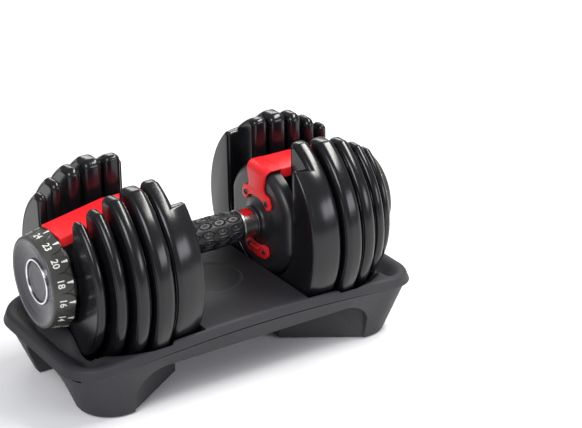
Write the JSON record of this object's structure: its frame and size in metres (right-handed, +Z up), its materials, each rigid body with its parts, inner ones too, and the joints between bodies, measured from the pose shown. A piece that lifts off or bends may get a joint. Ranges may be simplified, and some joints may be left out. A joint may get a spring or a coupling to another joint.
{
  "type": "adjustable dumbbell",
  "caption": "Dial-selected adjustable dumbbell with slotted nesting plates, contoured rubber grip and a docking cradle tray.",
  "frame": {"origin": "on the floor under the middle of the tray, midway along the handle", "axes": "+X along the handle, +Z up, +Y away from the user"},
  "size_m": [0.412, 0.221, 0.223],
  "materials": {
    "tray_plastic": "satin moulded charcoal plastic with fine texture",
    "foot_rubber": "soft matt rubber",
    "zinc_steel": "zinc plated",
    "turned_steel": "turned, lightly oiled",
    "grip_rubber": "moulded rubber with raised oval pattern",
    "bolt_steel": "black oxide hexagon heads",
    "plate_gloss": "glossy black moulded shell",
    "plate_steel": "rough cut steel plate",
    "collar_metal": "satin turned metal, polished ring",
    "red_plastic": "bright red",
    "disc_plastic": "satin black glass-filled nylon",
    "red_paint": "bright red powder coat, semi gloss",
    "black_steel": "black coated sheet",
    "spring_steel": "drawn wire",
    "selector_plastic": "self coloured nylon",
    "dial_plastic": "satin dark grey with printed white numbers",
    "dial_face_plastic": "satin gloss bluish dark grey",
    "dial_cap_plastic": "fine satin",
    "chrome_trim": "polished"
  },
  "bodies": {
    "tray": {"tray_top_shell": "tray_plastic", "tray_base_shell": "tray_plastic", "tray_foot_pads": "foot_rubber", "tray_screws": "zinc_steel", "tray_lock_posts": "tray_plastic"},
    "handle": {"shaft": "turned_steel", "handle_tube": "turned_steel", "grip": "grip_rubber", "bracket_bolts": "bolt_steel", "shaft_end_nuts": "zinc_steel", "left_collar": "collar_metal", "left_collar_insert": "red_plastic", "left_inner_disc": "disc_plastic", "left_top_bracket": "red_paint", "left_lower_bracket": "red_paint", "left_end_plate": "black_steel", "left_lock_spring": "spring_steel", "right_collar": "collar_metal", "right_collar_insert": "red_plastic", "right_inner_disc": "disc_plastic", "right_top_bracket": "red_paint", "right_lower_bracket": "red_paint", "right_end_plate": "black_steel", "right_lock_spring": "spring_steel"},
    "left_selector": {"left_selector_sleeve": "selector_plastic", "left_selector_discs": "selector_plastic", "left_dial_ring": "dial_plastic", "left_dial_face": "dial_face_plastic", "left_dial_trim_ring": "chrome_trim", "left_dial_cap": "dial_cap_plastic"},
    "left_lock_pin": {"left_lock_pin": "turned_steel"},
    "left_plate_1": {"left_plate_1_shell": "plate_gloss", "left_plate_1_core": "plate_steel"},
    "left_plate_2": {"left_plate_2_shell": "plate_gloss", "left_plate_2_core": "plate_steel"},
    "left_plate_3": {"left_plate_3_shell": "plate_gloss", "left_plate_3_core": "plate_steel"},
    "left_plate_4": {"left_plate_4_shell": "plate_gloss", "left_plate_4_core": "plate_steel"},
    "left_plate_5": {"left_plate_5_shell": "plate_gloss", "left_plate_5_core": "plate_steel"},
    "right_selector": {"right_selector_sleeve": "selector_plastic", "right_selector_discs": "selector_plastic", "right_dial_ring": "dial_plastic", "right_dial_face": "dial_face_plastic", "right_dial_trim_ring": "chrome_trim", "right_dial_cap": "dial_cap_plastic"},
    "right_lock_pin": {"right_lock_pin": "turned_steel"},
    "right_plate_1": {"right_plate_1_shell": "plate_gloss", "right_plate_1_core": "plate_steel"},
    "right_plate_2": {"right_plate_2_shell": "plate_gloss", "right_plate_2_core": "plate_steel"},
    "right_plate_3": {"right_plate_3_shell": "plate_gloss", "right_plate_3_core": "plate_steel"},
    "right_plate_4": {"right_plate_4_shell": "plate_gloss", "right_plate_4_core": "plate_steel"},
    "right_plate_5": {"right_plate_5_shell": "plate_gloss", "right_plate_5_core": "plate_steel"}
  },
  "joints": [
    {"name": "handle_lift", "type": "slide", "parent": "tray", "child": "handle", "axis": [0, 0, 1], "range_m": [0, 0.15]},
    {"name": "left_dial", "type": "hinge", "parent": "handle", "child": "left_selector", "pos_m": [-0.19, 0, 0.127], "axis": [1, 0, 0], "continuous": true},
    {"name": "left_lock_pin_slide", "type": "slide", "parent": "handle", "child": "left_lock_pin", "axis": [0, 0, 1], "range_m": [-0.006, 0], "deforming": ["left_lock_spring"]},
    {"name": "left_plate_1_lift", "type": "slide", "parent": "tray", "child": "left_plate_1", "axis": [0, 0, 1], "range_m": [0, 0.15]},
    {"name": "left_plate_2_lift", "type": "slide", "parent": "tray", "child": "left_plate_2", "axis": [0, 0, 1], "range_m": [0, 0.15]},
    {"name": "left_plate_3_lift", "type": "slide", "parent": "tray", "child": "left_plate_3", "axis": [0, 0, 1], "range_m": [0, 0.15]},
    {"name": "left_plate_4_lift", "type": "slide", "parent": "tray", "child": "left_plate_4", "axis": [0, 0, 1], "range_m": [0, 0.15]},
    {"name": "left_plate_5_lift", "type": "slide", "parent": "tray", "child": "left_plate_5", "axis": [0, 0, 1], "range_m": [0, 0.15]},
    {"name": "right_dial", "type": "hinge", "parent": "handle", "child": "right_selector", "pos_m": [0.19, 0, 0.127], "axis": [1, 0, 0], "continuous": true},
    {"name": "right_lock_pin_slide", "type": "slide", "parent": "handle", "child": "right_lock_pin", "axis": [0, 0, 1], "range_m": [-0.006, 0], "deforming": ["right_lock_spring"]},
    {"name": "right_plate_1_lift", "type": "slide", "parent": "tray", "child": "right_plate_1", "axis": [0, 0, 1], "range_m": [0, 0.15]},
    {"name": "right_plate_2_lift", "type": "slide", "parent": "tray", "child": "right_plate_2", "axis": [0, 0, 1], "range_m": [0, 0.15]},
    {"name": "right_plate_3_lift", "type": "slide", "parent": "tray", "child": "right_plate_3", "axis": [0, 0, 1], "range_m": [0, 0.15]},
    {"name": "right_plate_4_lift", "type": "slide", "parent": "tray", "child": "right_plate_4", "axis": [0, 0, 1], "range_m": [0, 0.15]},
    {"name": "right_plate_5_lift", "type": "slide", "parent": "tray", "child": "right_plate_5", "axis": [0, 0, 1], "range_m": [0, 0.15]}
  ],
  "couplings": [
    {"joint": "left_lock_pin_slide", "follows": "handle_lift", "ratio": -0.04},
    {"joint": "left_plate_1_lift", "follows": "handle_lift", "ratio": 1},
    {"joint": "left_plate_2_lift", "follows": "handle_lift", "ratio": 1},
    {"joint": "left_plate_3_lift", "follows": "handle_lift", "ratio": 1},
    {"joint": "left_plate_4_lift", "follows": "handle_lift", "ratio": 1},
    {"joint": "left_plate_5_lift", "follows": "handle_lift", "ratio": 1},
    {"joint": "right_lock_pin_slide", "follows": "handle_lift", "ratio": -0.04},
    {"joint": "right_plate_1_lift", "follows": "handle_lift", "ratio": 1},
    {"joint": "right_plate_2_lift", "follows": "handle_lift", "ratio": 1},
    {"joint": "right_plate_3_lift", "follows": "handle_lift", "ratio": 1},
    {"joint": "right_plate_4_lift", "follows": "handle_lift", "ratio": 1},
    {"joint": "right_plate_5_lift", "follows": "handle_lift", "ratio": 1}
  ]
}
